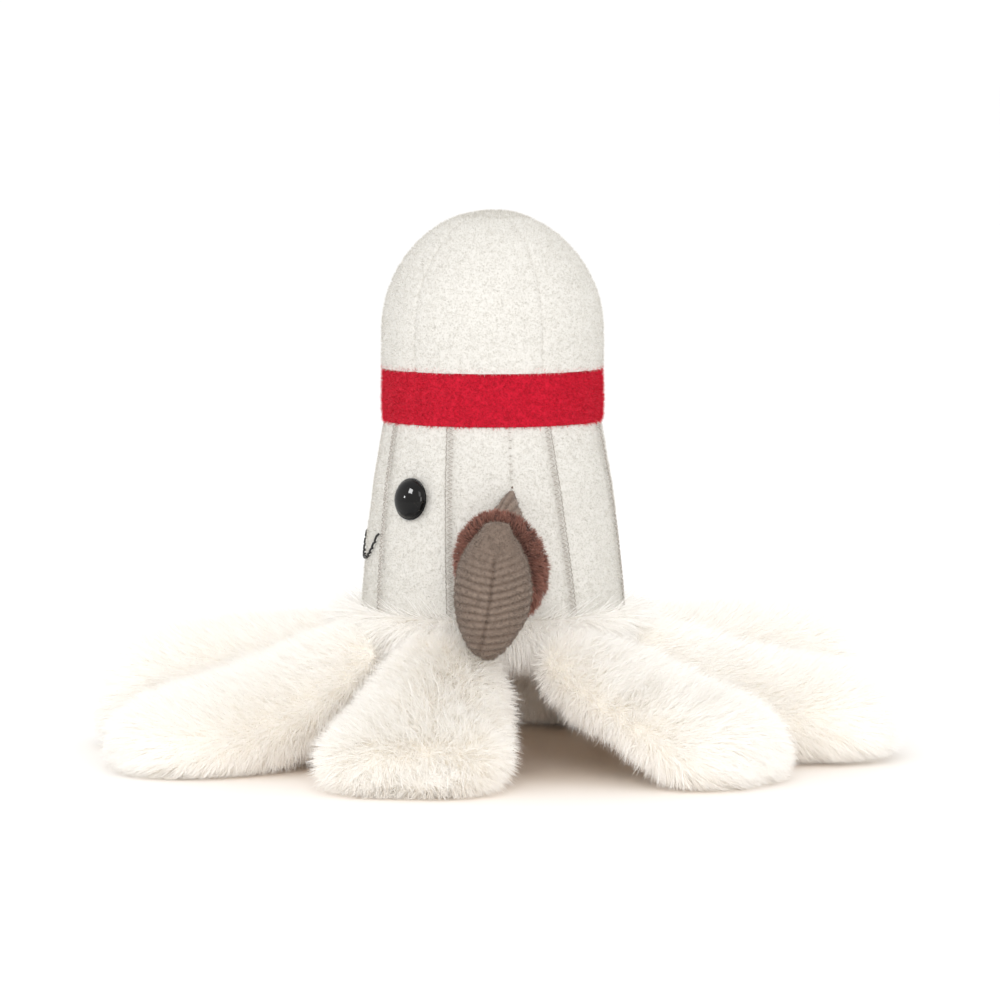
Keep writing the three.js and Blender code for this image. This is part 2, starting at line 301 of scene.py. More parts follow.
def corners_of(skin):
    """A mesh's triangles as arrays of corner places and corner normals."""
    mesh = skin.data
    mesh.calc_loop_triangles()
    places = np.zeros(len(mesh.vertices) * 3)
    normals = np.zeros(len(mesh.vertices) * 3)
    index = np.zeros(len(mesh.loop_triangles) * 3, np.int32)
    mesh.vertices.foreach_get("co", places)
    mesh.vertices.foreach_get("normal", normals)
    mesh.loop_triangles.foreach_get("vertices", index)
    index = index.reshape(-1, 3)
    return places.reshape(-1, 3)[index], normals.reshape(-1, 3)[index]


def unit(v):
    """Rows of an array, each of length one."""
    return v / np.maximum(np.linalg.norm(v, axis=1, keepdims=True), 1e-9)


def nearest(points, guides):
    """For each point the index of its nearest guide."""
    found = np.zeros(len(points), int)
    for low in range(0, len(points), 2000):
        part = points[low : low + 2000]
        far = ((part[:, None] - guides[None]) ** 2).sum(2)
        found[low : low + 2000] = far.argmin(1)
    return found


def coat(name, skins, material, body, slot, count, long, wide, comb, seed,
         keep=None, grow=None, joints=2, lock=0.0, lock_pull=0.5, rise=0.6, spread=0.25, floor=None):
    """A piece made of count fibres over the skins. comb(places, normals) gives the way they lie."""
    rng = np.random.default_rng(seed)
    pairs = [corners_of(s) for s in skins]
    tri = np.concatenate([a for a, _ in pairs])
    nor = np.concatenate([b for _, b in pairs])
    area = np.linalg.norm(np.cross(tri[:, 1] - tri[:, 0], tri[:, 2] - tri[:, 0]), axis=1)
    if keep is not None:
        area = area * keep(tri.mean(1), unit(nor.mean(1)))
    pick = rng.choice(len(area), count, p=area / area.sum())
    a, b = rng.random((2, count, 1))
    a, b = np.where(a + b > 1, 1 - a, a), np.where(a + b > 1, 1 - b, b)
    mix = np.stack([1 - a - b, a, b], axis=1)
    root = (tri[pick] * mix).sum(1)
    out = unit((nor[pick] * mix).sum(1))
    lie = comb(root, out)
    lie = unit(lie - out * (lie * out).sum(1, keepdims=True))
    way = unit(out * rise + lie * (1 - rise) + rng.normal(0, spread, (count, 3)))
    length = long * rng.uniform(0.75, 1.1, (count, 1))
    if grow is not None:
        length = length * grow(root)[:, None]
    tip = root + way * length
    if lock:
        guides = rng.choice(count, max(8, int(area.sum() / 2 / lock**2)), replace=False)
        own = guides[nearest(root, root[guides])]
        meet = tip[own] + (root - root[own]) * 0.35
        tip = tip + (meet - tip) * lock_pull * rng.uniform(0.5, 1.0, (count, 1))
        tip = root + unit(tip - root) * length
    sides = unit(np.cross(way, out + rng.normal(0, 0.8, (count, 3))))
    bend = lie * length * 0.12
    rows = []
    for k in range(joints + 1):
        t = k / joints if joints > 1 else float(k)
        at = root + (tip - root) * t + bend * (t * t - t)
        if k == joints:
            rows.append(at)
        else:
            half = sides * wide / 2 * (1 - 0.55 * t)
            rows.extend([at - half, at + half])
    points = np.stack(rows, axis=1)
    if floor is not None:
        points[:, :, 2] = np.maximum(points[:, :, 2], floor + rng.random((count, 1)) * 0.0004)
    per = points.shape[1]
    faces = [(2 * k, 2 * k + 1, 2 * k + 3, 2 * k + 2) for k in range(joints - 1)]
    faces.append((per - 3, per - 2, per - 1))
    return blades(name, points, faces, rng, (material, body, slot))


def blades(name, points, faces, rng, dressing):
    """The mesh of many like blades: points is (blade, point, xyz) and faces are one blade's."""
    count, per = points.shape[:2]
    mesh = bpy.data.meshes.new(name)
    mesh.vertices.add(count * per)
    mesh.vertices.foreach_set("co", points.reshape(-1).astype(np.float32))
    one = np.concatenate([np.array(f) for f in faces])
    loops = (one[None] + np.arange(count)[:, None] * per).reshape(-1)
    sizes = np.tile([len(f) for f in faces], count)
    mesh.loops.add(len(loops))
    mesh.loops.foreach_set("vertex_index", loops.astype(np.int32))
    mesh.polygons.add(len(sizes))
    starts = np.concatenate([[0], np.cumsum(sizes)[:-1]])
    mesh.polygons.foreach_set("loop_start", starts.astype(np.int32))
    mesh.update(calc_edges=True)
    mesh.shade_smooth()
    along = np.minimum(one // 2, (per - 1) / 2) / ((per - 1) / 2)
    uv = np.stack([
        np.repeat(rng.random(count), len(one)),
        np.tile(along, count),
    ], axis=1)
    mesh.uv_layers.new(name="fibre").data.foreach_set("uv", uv.reshape(-1).astype(np.float32))
    made = bpy.data.objects.new(name, mesh)
    scene.collection.objects.link(made)
    print(f"{name}: {count} fibres, {len(sizes)} faces, {time.time() - began:.0f} s")
    return dress(made, *dressing)


# %% [markdown]
# ## Cloth and pile finishes
# Fleece is off-white with tiny grey and beige flecks, so its colour comes from two noises at the size of a
# fibre. Each pile material reads its blade's own map: darker and warmer at the root, which is painted shade
# for the light that gets lost deep in the pile, and pale at the tip, with a little chance difference between
# blades.

# %% Finishes


def pile(name, root, tip, far, roughness=0.75, sheen=0.3, spare=0.25):
    """A fibre finish: root and tip colours, and a second tip colour for some blades."""
    mat, tree, shader = finish_of(name, roughness, sheen, 0.4, specular=0.25)
    fibre = add(tree, "ShaderNodeUVMap", uv_map="fibre")
    parts = add(tree, "ShaderNodeSeparateXYZ", {"Vector": fibre.outputs["UV"]})
    tips = ramp(tree, parts.outputs["X"], [(0.0, far), (spare, far), (spare + 0.15, tip), (1, tip)])
    # Each blade blends from its root colour to its tip colour. The darker root is painted shade for the depth
    # of the pile.
    high = add(tree, "ShaderNodeMapRange", {"Value": parts.outputs["Y"], "From Max": 0.8})
    blend = add(
        tree, "ShaderNodeMix", {0: high.outputs[0], 6: (*root, 1), 7: tips}, data_type="RGBA"
    )
    tree.links.new(blend.outputs[2], shader.inputs["Base Color"])
    return mat


def cloth(name, dark, light, size, bump, sheen=0.35):
    """A short-napped cloth: flecks at the size of a fibre and a bump to match."""
    mat, tree, shader = finish_of(name, 0.9, sheen, 0.45, specular=0.2)
    place = add(tree, "ShaderNodeTexCoord").outputs["Object"]
    fine = add(tree, "ShaderNodeTexNoise", {"Vector": place, "Scale": 1 / size, "Detail": 3.0})
    curl = add(tree, "ShaderNodeTexVoronoi", {"Vector": place, "Scale": 0.8 / size})
    both = add(
        tree, "ShaderNodeMath", {0: fine.outputs["Fac"], 1: curl.outputs["Distance"]},
        operation="MULTIPLY",
    )
    colour = ramp(tree, both.outputs[0], [(0.05, dark), (0.22, light), (1, light)])
    tree.links.new(colour, shader.inputs["Base Color"])
    raised = add(
        tree, "ShaderNodeBump",
        {"Height": both.outputs[0], "Strength": bump, "Distance": 0.0006},
    )
    tree.links.new(raised.outputs["Normal"], shader.inputs["Normal"])
    return mat


FLEECE = cloth("fleece", (0.59, 0.575, 0.53), (0.72, 0.705, 0.67), 0.0006, 0.4, 0.1)
FLEECE_NAP = pile("fleece nap", (0.63, 0.615, 0.575), (0.735, 0.715, 0.675), (0.48, 0.455, 0.41),
                  spare=0.08, sheen=0.1)
RED_CLOTH = cloth("red plush", (0.42, 0.006, 0.022), (0.62, 0.010, 0.036), 0.0008, 0.4, 0.05)
RED_NAP = pile("red nap", (0.52, 0.007, 0.026), (0.74, 0.014, 0.050), (0.62, 0.010, 0.038), sheen=0.05)
SKIN = cloth("fur backing", (0.93, 0.90, 0.85), (0.97, 0.955, 0.92), 0.0012, 0.2, 0.1)
LONG_FUR = pile("long fur", (0.981, 0.968, 0.947), (0.985, 0.979, 0.967), (0.982, 0.972, 0.955), 0.6, 0.1)
BROWN_CLOTH = cloth("brown backing", (0.07, 0.030, 0.022), (0.12, 0.055, 0.042), 0.0009, 0.4)
BROWN_FUR = pile("brown fur", (0.17, 0.078, 0.056), (0.40, 0.190, 0.145), (0.30, 0.135, 0.100), sheen=0.15)
LINING = cloth("lining", (0.80, 0.63, 0.46), (0.90, 0.77, 0.62), 0.0006, 0.4)
FILLING = cloth("filling", (0.80, 0.80, 0.80), (0.92, 0.92, 0.92), 0.003, 0.5)
print(len(bpy.data.materials), "finishes so far")

# %% [markdown]
# ## The floor
# The floor is a painted studio surface, very pale and matt. Under the toy its colour turns a warm tan. This
# is a painted warm shadow between the feathers, standing in for light bounced through the fur, and the edge
# of that patch is faintly uneven.

# %% Floor finish
floor_with_painted_shadow, tree, shader = finish_of("studio floor with painted warm shadow", 0.95, specular=0.1)
place = add(tree, "ShaderNodeTexCoord").outputs["Object"]
mottle = add(tree, "ShaderNodeTexNoise", {"Vector": place, "Scale": 3.0, "Detail": 2.0})
away = add(tree, "ShaderNodeVectorMath", {0: place}, operation="LENGTH").outputs["Value"]
painted_shadow_reach = add(tree, "ShaderNodeMath", {0: mottle.outputs["Fac"], 1: 0.02, 2: away}, operation="MULTIPLY_ADD")
# Near the axis the floor's colour fades to a warm tan: painted warm shadow under the toy. Farther out it is
# plain pale.
colour_with_painted_shade = ramp(tree, painted_shadow_reach.outputs[0], [(0.06, (0.95, 0.85, 0.76)), (0.15, (0.985, 0.985, 0.985))])
tree.links.new(colour_with_painted_shade, shader.inputs["Base Color"])
floor.data.materials.append(floor_with_painted_shadow)

# %% [markdown]
# ## The cap: five gores
# A round cap is sewn from gores, flat leaves whose curved edges pull them into a dome. Each gore is
# spun from the cap's outline through its own share of the circle. Its edges roll in where the seam
# draws the cloth down, its middle swells a little, and a slow noise keeps the stuffing from looking
# turned on a lathe.

# %% Cap gores
STEP = 0.8 * MM


def dome_line():
    """The cap's outside from its pole to the band."""
    rise = CAP_TOP - CAP_SPRING
    turn = [math.pi / 2 * (1 - k / 56) for k in range(57)]
    arc = [(CAP_R * math.cos(a), CAP_SPRING + rise * math.sin(a)) for a in turn]
    side = [(CAP_R, z) for z in np.arange(CAP_SPRING - STEP, BAND_TOP - 1.5 * MM, -STEP)]
    return [(max(r, 0.0), z) for r, z in arc + side]


def waver(p, size, amount):
    """A soft noise of one size, from -amount to amount."""
    return noise.noise(p / size) * amount


cap_gores = []
for k in range(GORES):
    share = 360 / GORES
    first = CAP_SEAM + k * share
    bm = spun(walled(dome_line(), 8), first, share, 54)
    middle = first + share / 2

    def roll(v):
        r = math.hypot(v.co.x, v.co.y)
        gap = abs(share / 2 - off_angle(degrees_of(v.co), middle)) * math.pi / 180 * r
        near_pole = min(1.0, r / (9 * MM))
        seam = -0.3 * MM * math.exp(-((gap / (0.7 * MM)) ** 2)) * near_pole
        crown = 0.2 * MM * math.sin(min(1.0, gap / (0.3 * CAP_R)) * math.pi / 2) * near_pole
        loose = waver(v.co, 14 * MM, 0.3 * MM) + waver(v.co, 1.6 * MM, 0.12 * MM)
        return seam + crown + loose - 0.5 * MM

    shift(bm, roll, CAP_SPRING)
    gore = piece(f"cap_gore_cloth_{k + 1}", bm, FLEECE, "body", "fleece", [f"cap_gore_{k + 1}"])
    cap_gores.append(gore)
print("gore", len(cap_gores[0].data.polygons), "faces")

# %% [markdown]
# ## The red band
# The band is a strip of dense plush laid round the joint of cap and cone. A spun ring gives the strip,
# and its edges turn in. Its look is nearly all pile, so the coat is thick and short.

# %% Band
band_line = [(BAND_R - 0.5 * MM, BAND_TOP + 0.2 * MM)]
band_line += [
    (BAND_R + 0.35 * MM * math.sin(math.pi * t), BAND_TOP - 0.2 * MM - t * (BAND_TOP - BAND_LOW - 0.2 * MM))
    for t in np.linspace(0, 1, 24)
]
band_line.append((BAND_R - 0.4 * MM, BAND_LOW - 0.1 * MM))
bm = spun(walled(band_line, 4), 180, 360, 300)
shift(bm, lambda v: waver(v.co, 1.4 * MM, 0.15 * MM) + waver(v.co, 15 * MM, 0.25 * MM) - 0.4 * MM)
band = piece("band_cloth", bm, RED_CLOTH, "body", "red_plush", ["red_band"])

# %% [markdown]
# ## The cone's two panels
# The cone is a front and a back panel, joined at the sides, where the arms are sewn in. The rows of
# quill stitching hold the cloth down in eight lines, the side seams draw it in, and each eye presses a
# dimple. All of these are one function of a point's place, which moves the spun wall along its normals.

# %% Cone panels


def cone_line():
    """The cone's outside from the band to the hem."""
    heights = np.arange(BAND_LOW - 0.2 * MM, 45 * MM, -STEP)
    return [(cone_radius(z) - 0.25 * MM, float(z)) for z in heights] + [(39.0 * MM, 44.3 * MM)]


EYE_SPOTS = [heading(s * EYE_ANGLE) * cone_radius(EYE_Z) + UP * EYE_Z for s in (1, -1)]


def cone_relief(p):
    """How far the cone's cloth stands out or is drawn in at a point."""
    r, at = math.hypot(p.x, p.y), degrees_of(p)
    arc = r * math.pi / 180
    quill = min(off_angle(at, quill_angle(q, p.z)) for q in QUILLS) * arc
    side = min(off_angle(at, 90), off_angle(at, 270)) * arc
    drawn = -0.14 * MM * math.exp(-(((quill - 1.3 * MM) / (0.55 * MM)) ** 2))
    drawn -= 0.55 * MM * math.exp(-((side / (0.9 * MM)) ** 2))
    swell = 0.16 * MM * math.sin(min(1.0, quill / (10 * MM)) * math.pi / 2)
    eye = min((p - spot).length for spot in EYE_SPOTS)
    dimple = -0.5 * MM * math.exp(-((eye / (7.5 * MM)) ** 4))
    loose = waver(p, 16 * MM, 0.3 * MM) + waver(p, 1.5 * MM, 0.12 * MM)
    return drawn + swell + dimple + loose - 0.6 * MM


cone_panels = []
for name, start in (("front", -90), ("back", 90)):
    bm = spun(walled(cone_line(), 5), start, 180, 150)
    shift(bm, lambda v: cone_relief(v.co) if v.co.xy.length > cone_radius(v.co.z) - 0.9 * MM else 0)
    panel = piece(
        f"cone_{name}_cloth", bm, FLEECE, "body", "fleece", [f"cone_{name}_panel"]
    )
    cone_panels.append(panel)
print("cone", [len(p.data.polygons) for p in cone_panels], "faces")

# %% [markdown]
# ## Naps
# Fleece has a short curly nap, so its fibres stand every way. The band's pile is longer and denser.

# %% Fleece and band naps


def any_way(seed):
    """A comb for cloth whose fibres lie at random."""
    def comb(places, normals):
        return np.random.default_rng(seed).normal(0, 1, places.shape)
    return comb


def outer_only(places, normals):
    """One where a face looks away from the axis, and none inside the walls."""
    away = normals[:, 0] * places[:, 0] + normals[:, 1] * places[:, 1] + 0.01 * normals[:, 2]
    return (away > 0) * 1.0


coat("cap_nap", cap_gores, FLEECE_NAP, "body", "fleece", 42000, 0.9 * MM, 0.14 * MM, any_way(1), 11,
     keep=lambda p, n: outer_only(p, n) + (p[:, 2] > 0.162) * (n[:, 2] > 0), joints=1, rise=0.62,
     spread=0.3)
coat("cone_nap", cone_panels, FLEECE_NAP, "body", "fleece", 60000, 0.9 * MM, 0.14 * MM, any_way(2), 12,
     keep=outer_only, joints=1, rise=0.62, spread=0.3)
coat("band_nap", [band], RED_NAP, "body", "red_plush", 36000, 1.5 * MM, 0.16 * MM, any_way(3), 13,
     keep=outer_only, joints=1, rise=0.55, spread=0.35)

# %% [markdown]
# ## Quill stitching
# A zigzag machine stitch beside one run of straight stitches makes each quill. A curve through the needle's
# points, given a round section, is the quickest way to a thread, and it becomes a mesh before it is dressed,
# so that its place is in its mesh.

# %% Quills


def thread_mesh(name, runs, thick):
    """Threads through lists of points, as one mesh."""
    curve = bpy.data.curves.new(name, "CURVE")
    curve.dimensions, curve.bevel_depth, curve.bevel_resolution = "3D", thick / 2, 1
    curve.use_fill_caps = True
    for run in runs:
        line = curve.splines.new("POLY")
        line.points.add(len(run) - 1)
        for point, p in zip(line.points, run):
            point.co = (*p, 1)
    made = bpy.data.objects.new(name, curve)
    scene.collection.objects.link(made)
    mesh = bpy.data.meshes.new_from_object(made)
    bpy.data.objects.remove(made)
    bpy.data.curves.remove(curve)
    mesh.shade_smooth()
    mesh.name = name
    made = bpy.data.objects.new(name, mesh)
    scene.collection.objects.link(made)
    return made


def thread_finish(name, dark, light):
    """Twisted thread: fine slanting bands of light and dark."""
    mat, tree, shader = finish_of(name, 0.55, 0.3, 0.3, specular=0.35)
    place = add(tree, "ShaderNodeTexCoord").outputs["Object"]
    twist = add(tree, "ShaderNodeTexWave", {"Vector": place, "Scale": 900.0, "Distortion": 2.0})
    colour = ramp(tree, twist.outputs["Fac"], [(0.1, dark), (0.8, light)])
    tree.links.new(colour, shader.inputs["Base Color"])
    return mat


STITCH = thread_finish("stitching", (0.36, 0.32, 0.28), (0.60, 0.56, 0.52))
BORDER = thread_finish("border stitching", (0.30, 0.27, 0.24), (0.46, 0.42, 0.38))


def on_cone(angle, across, z, proud):
    """A point over the cone, across metres to one side of a heading."""
    r = cone_radius(z) + proud
    turn = heading(angle + math.degrees(across / r))
    return turn * r + UP * z


for k, quill_line in enumerate(QUILLS):
    low, high, half = 46 * MM, BAND_LOW - 0.5 * MM, 0.8 * MM
    beats = 84
    zigzag = []
    for n in range(beats + 1):
        z = high + (low - high) * n / beats
        side = 1 if n % 2 else -1
        zigzag.append(on_cone(quill_angle(quill_line, z), side * half, z, -0.15 * MM))
        zigzag.append(on_cone(quill_angle(quill_line, z), side * half * 0.2, z - 0.15 * MM, 0.3 * MM))
    quill = thread_mesh(f"quill_zigzag_{k + 1}", [zigzag], 0.28 * MM)
    dress(quill, STITCH, "body", "stitching", [f"quill_stitch_{k + 1}"])
    edges = []
    stitches = 36
    long = (high - low) / stitches
    for n in range(stitches):
        top = high - n * long
        heights = [top - long * t for t in (0.08, 0.3, 0.7, 0.92)]
        raised = (-0.45, 0.1, 0.1, -0.45)
        beside = (half + 0.5 * MM) * (-1 if off_angle(quill_line[0], 0) < 90 else 1)
        edges.append([
            on_cone(quill_angle(quill_line, z), beside, z, up * MM)
            for z, up in zip(heights, raised)
        ])
    border = thread_mesh(f"quill_border_{k + 1}", edges, 0.26 * MM)
    dress(border, BORDER, "body", "stitching")
print("quills", len(QUILLS))

# %% [markdown]
# ## The side seams
# Where the two panels meet, a row of small stitches shows as dots, because each stitch sinks into the
# nap. They are short threads across the seam.

# %% Side seams
for name, angle in (("left", 90), ("right", 270)):
    runs = [
        [on_cone(angle, s * 0.35 * MM, z, p * MM) for s, p in ((-1, -0.6), (0, -0.1), (1, -0.6))]
        for z in np.arange(86 * MM, BAND_LOW - 1 * MM, 2.3 * MM)
    ]
    seam = thread_mesh(f"side_seam_{name}", runs, 0.22 * MM)
    dress(seam, BORDER, "body", "stitching")

# %% [markdown]
# ## The eyes
# A safety eye is a turned plastic dome on a stem, with a thin rim that beds in the cloth. The outline
# is spun about the eye's own axis and then placed by a matrix, so the object itself stays at the origin.

# %% Eyes
eye_black, tree, shader = finish_of("polished black", 0.05, specular=0.22)
place = add(tree, "ShaderNodeTexCoord").outputs["Object"]
depth = add(tree, "ShaderNodeTexNoise", {"Vector": place, "Scale": 260.0, "Detail": 1.0})
black = ramp(tree, depth.outputs["Fac"], [(0.35, (0.003, 0.003, 0.0035)), (0.7, (0.007, 0.0065, 0.006))])
tree.links.new(black, shader.inputs["Base Color"])

for name, sign in (("left", 1), ("right", -1)):
    spot = EYE_SPOTS[0 if sign > 0 else 1]
    out = (heading(sign * (EYE_ANGLE - 1.5)) + UP * 0.118).normalized()
    spot = spot - heading(sign * (EYE_ANGLE + 90)) * sign * 0.8 * MM
    frame_of_eye = Matrix.Translation(spot) @ out.to_track_quat("Z", "Y").to_matrix().to_4x4()
    bm = bmesh.new()
    arc = [(EYE_R * 0.93 * math.sin(a), 0.5 * MM + 2.6 * MM * math.cos(a))
           for a in np.linspace(0, math.pi / 2, 14)]
    rim = [(EYE_R * 0.95, 0.42 * MM), (EYE_R * 0.99, 0.46 * MM), (EYE_R, 0.3 * MM), (EYE_R * 0.97, 0.2 * MM),
           (1.8 * MM, 0.1 * MM), (1.8 * MM, -5.8 * MM), (0, -6 * MM)]
    verts = [bm.verts.new((r, 0, z)) for r, z in arc + rim]
    edges = [bm.edges.new(pair) for pair in zip(verts, verts[1:])]
    bmesh.ops.spin(bm, geom=verts + edges, cent=(0, 0, 0), axis=(0, 0, 1), dvec=(0, 0, 0),
                   angle=math.tau, steps=64, use_merge=True)
    bmesh.ops.remove_doubles(bm, verts=bm.verts, dist=1e-6)
    bmesh.ops.recalc_face_normals(bm, faces=bm.faces)
    bmesh.ops.transform(bm, matrix=frame_of_eye, verts=bm.verts)
    piece(f"eye_dome_{name}", bm, eye_black, "body", "eye_gloss", [f"eye_{name}"])

# %% [markdown]
# ## The smile
# The mouth is a line of back stitches in thick black thread.

# %% Smile
SMILE_HALF, SMILE_END, SMILE_DROP = 16.5, 68.0 * MM, 7.8 * MM
black_thread = thread_finish("black thread", (0.004, 0.004, 0.004), (0.02, 0.019, 0.018))


def smile_point(t, proud):
    """A point of the mouth, t from -1 to 1."""
    z = SMILE_END - SMILE_DROP * (1 - t * t)
    return heading(t * SMILE_HALF) * (cone_radius(z) + proud) + UP * z


BACK_STITCH = ((0, -0.3), (0.25, 0.25), (0.75, 0.25), (1, -0.3))
runs = []
count = 12
for n in range(count):
    a, b = -1 + 2 * n / count, -1 + 2 * (n + 1.12) / count
    runs.append([smile_point(a + (b - a) * t, proud * MM) for t, proud in BACK_STITCH])
smile = thread_mesh("smile_thread", runs, 0.7 * MM)
dress(smile, black_thread, "body", "black_thread", ["smile_stitch"])

# %% [markdown]
# ## Feathers: the stuffed skins
# Each feather is a long pillow. Its solid is copied, remeshed to even cells, drawn in a little and then
# blown up by Blender's cloth with pressure, which gives the fullness that stuffing gives. How far a
# point may move is capped, so the pillow keeps its measure. Before that, some tips are drawn out a few
# millimetres, as no two feathers are sewn quite alike. The pile adds the rest of the depth.

# %% Pillows by cloth simulation
COAT_DEPTH = 2.2 * MM
CELL = 4 * MM
PRESSURE, LAST_FRAME = 4.0, 20


def copy_of(node):
    """A bmesh of a solid with its loose triangles merged."""
    bm = bmesh.new()
    bm.from_mesh(frame["nodes"][node].data)
    bmesh.ops.remove_doubles(bm, verts=bm.verts, dist=1e-6)
    return bm


def apply_modifier(made, modifier):
    """Leaves a modifier's result in the mesh."""
    with bpy.context.temp_override(object=made, active_object=made):
        bpy.ops.object.modifier_apply(modifier=modifier.name)


def even_skin(name, node, cell, inset):
    """A solid's copy with even cells, drawn in by inset."""
    bm = copy_of(node)
    mesh = bpy.data.meshes.new(name)
    bm.to_mesh(mesh)
    bm.free()
    made = bpy.data.objects.new(name, mesh)
    scene.collection.objects.link(made)
    remesh = made.modifiers.new("even", "REMESH")
    remesh.mode, remesh.voxel_size = "VOXEL", cell
    apply_modifier(made, remesh)
    bm = bmesh.new()
    bm.from_mesh(made.data)
    bmesh.ops.smooth_vert(bm, verts=bm.verts, factor=0.5, use_axis_x=True, use_axis_y=True, use_axis_z=True)
    bm.normal_update()
    for v in bm.verts:
        v.co -= v.normal * inset * (0.25 + 0.75 * abs(v.normal.z))
    bm.to_mesh(made.data)
    bm.free()
    return made


def stuff(made, most):
    """Blows a skin up with cloth, and caps how far its points move."""
    before = [v.co.copy() for v in made.data.vertices]
    modifier = made.modifiers.new("stuffing", "CLOTH")
    modifier.settings.use_pressure = True
    modifier.settings.uniform_pressure_force = PRESSURE
    modifier.settings.effector_weights.gravity = 0
    modifier.point_cache.frame_start, modifier.point_cache.frame_end = 1, LAST_FRAME
    for n in range(1, LAST_FRAME + 1):
        scene.frame_set(n)
    graph = bpy.context.evaluated_depsgraph_get()
    after = [v.co.copy() for v in made.evaluated_get(graph).data.vertices]
    made.modifiers.remove(modifier)
    scene.frame_set(1)
    for v, a, b in zip(made.data.vertices, before, after):
        move = b - a
        v.co = a + move * min(1.0, most / max(move.length, 1e-9))


def finer(made, relax=0.5):
    """One level of subdivision in the mesh."""
    bm = bmesh.new()
    bm.from_mesh(made.data)
    bmesh.ops.subdivide_edges(bm, edges=bm.edges, cuts=1, use_grid_fill=True, smooth=0.6)
    bmesh.ops.smooth_vert(bm, verts=bm.verts, factor=relax, use_axis_x=True, use_axis_y=True, use_axis_z=True)
    bm.to_mesh(made.data)
    bm.free()
    made.data.shade_smooth()


def drawn_out(made, along, longer, higher, fuller):
    """Lengthens a pillow towards its tip, lifts it there and swells its end."""
    start = [v.co.copy() for v in made.data.vertices]
    normals = [v.normal.copy() for v in made.data.vertices]
    for v, co, normal in zip(made.data.vertices, start, normals):
        share = min(1.0, max(0.0, (co.dot(along) - 60 * MM) / (45 * MM)))
        v.co = co + along * longer * share + normal * fuller * share * share
        v.co.z = max(v.co.z, co.z) + higher * share


# Per feather: how much longer, how much higher at the tip and how much fuller, in millimetres.
TIPS = {1: (3.0, 0, 0.8), 3: (0, 0, 0.4), 4: (2.0, 3.0, 2.8), 5: (5.0, 4.5, 1.5), 8: (2.0, 2.0, 0.8)}
hinge = {j["child"]: j for j in frame["joints"]}
alongs = [Vector((-a[1], a[0], 0)).normalized() for a in (hinge[f"feather_{k}"]["axis"] for k in range(1, 9))]
feather_skins = []
for k, along in enumerate(alongs, 1):
    skin = even_skin(f"feather_skin_{k}", f"feather_{k}", CELL, COAT_DEPTH)
    drawn_out(skin, along, *(value * MM for value in TIPS.get(k, (0, 0, 0))))
    stuff(skin, 1.4 * MM)
    finer(skin)
    dress(skin, SKIN, f"feather_{k}", "long_fur", [f"feather_{k}"])
    feather_skins.append(skin)
print("pillows", len(feather_skins), f"{time.time() - began:.0f} s")

# %% [markdown]
# ## Feathers: the long fur
# The pile runs from the hem to the tip and falls to both sides, so a blade's lie is the feather's own
# direction, which its hinge gives, with a part that spreads sideways and a part that hangs down. Below,
# the fur is pressed by the floor, so no blade goes under it.

# %% Long fur


def shorter_at_root(places):
    """The pile is clipped short where a feather is sewn on, so that the seam lies flat."""
    return np.clip((np.hypot(places[:, 0], places[:, 1]) - 36 * MM) / (18 * MM), 0.5, 1.0)


def feather_comb(along):
    """The lie of the fur on a feather that points along a direction."""
    side = np.array([-along.y, along.x, 0.0])
    ahead = np.array([along.x, along.y, 0.0])

    def comb(places, normals):
        drift = (normals @ side)[:, None] * side * 0.5
        sweep = np.array([[noise.noise(Vector(p) * 90), noise.noise(Vector(p) * 90 + Vector((5, 5, 5)))]
                          for p in places])
        swirl = side * sweep[:, :1] * 0.55 + UP_ROW * sweep[:, 1:] * 0.3
        return ahead + drift + swirl - UP_ROW * 0.25
    return comb


UP_ROW = np.array([[0.0, 0.0, 1.0]])
FUR_COUNT = 48000
for k, (skin, along) in enumerate(zip(feather_skins, alongs), 1):
    coat(f"feather_fur_{k}", [skin], LONG_FUR, f"feather_{k}", "long_fur", FUR_COUNT, 9 * MM,
         0.23 * MM, feather_comb(along), 100 + k, joints=2, lock=3.0 * MM, lock_pull=0.3, rise=0.5,
         spread=0.18, grow=shorter_at_root, floor=0.0002)

# %% [markdown]
# ## The skirt of fur at the hem
# Between the feathers' roots the same fur closes the joint with the cone. A ring of backing is spun
# under the hem, and its pile falls outwards.

# %% Hem skirt
skirt_line = [(39.4 * MM, 44.4 * MM), (40.6 * MM, 43.4 * MM), (41.0 * MM, 41.5 * MM), (40.2 * MM, 40.0 * MM)]
bm = spun(walled(skirt_line, 4), 180, 360, 120)
skirt = piece("hem_skirt", bm, SKIN, "body", "long_fur")
coat("hem_fur", [skirt], LONG_FUR, "body", "long_fur", 30000, 14 * MM, 0.23 * MM,
     lambda p, n: np.stack([p[:, 0] * 20, p[:, 1] * 20, -1.0 + 0 * p[:, 0]], axis=1), 131,
     keep=outer_only, joints=3, lock=3 * MM, lock_pull=0.25, rise=0.08, spread=0.16)

# %% [markdown]
# ## The underside
# A round of lining closes the cone. It is gathered a little where it is sewn in, which shows as soft
# radial puckers.

# %% Base panel
BASE_R = 38.2 * MM
radii = [BASE_R * k / 14 for k in range(15)]
under = [(r, 43.0 * MM) for r in radii]
over = [(r, 43.8 * MM) for r in reversed(radii)]
bm = spun(under + over, 0, 360, 144)
for v in bm.verts:
    share = v.co.xy.length / BASE_R
    v.co.z += math.sin(math.radians(degrees_of(v.co)) * 24) * 0.35 * MM * share**2
    v.co.z -= 0.7 * MM * (1 - share**2)
base = piece("base_lining", bm, LINING, "body", "lining", ["base_panel"])
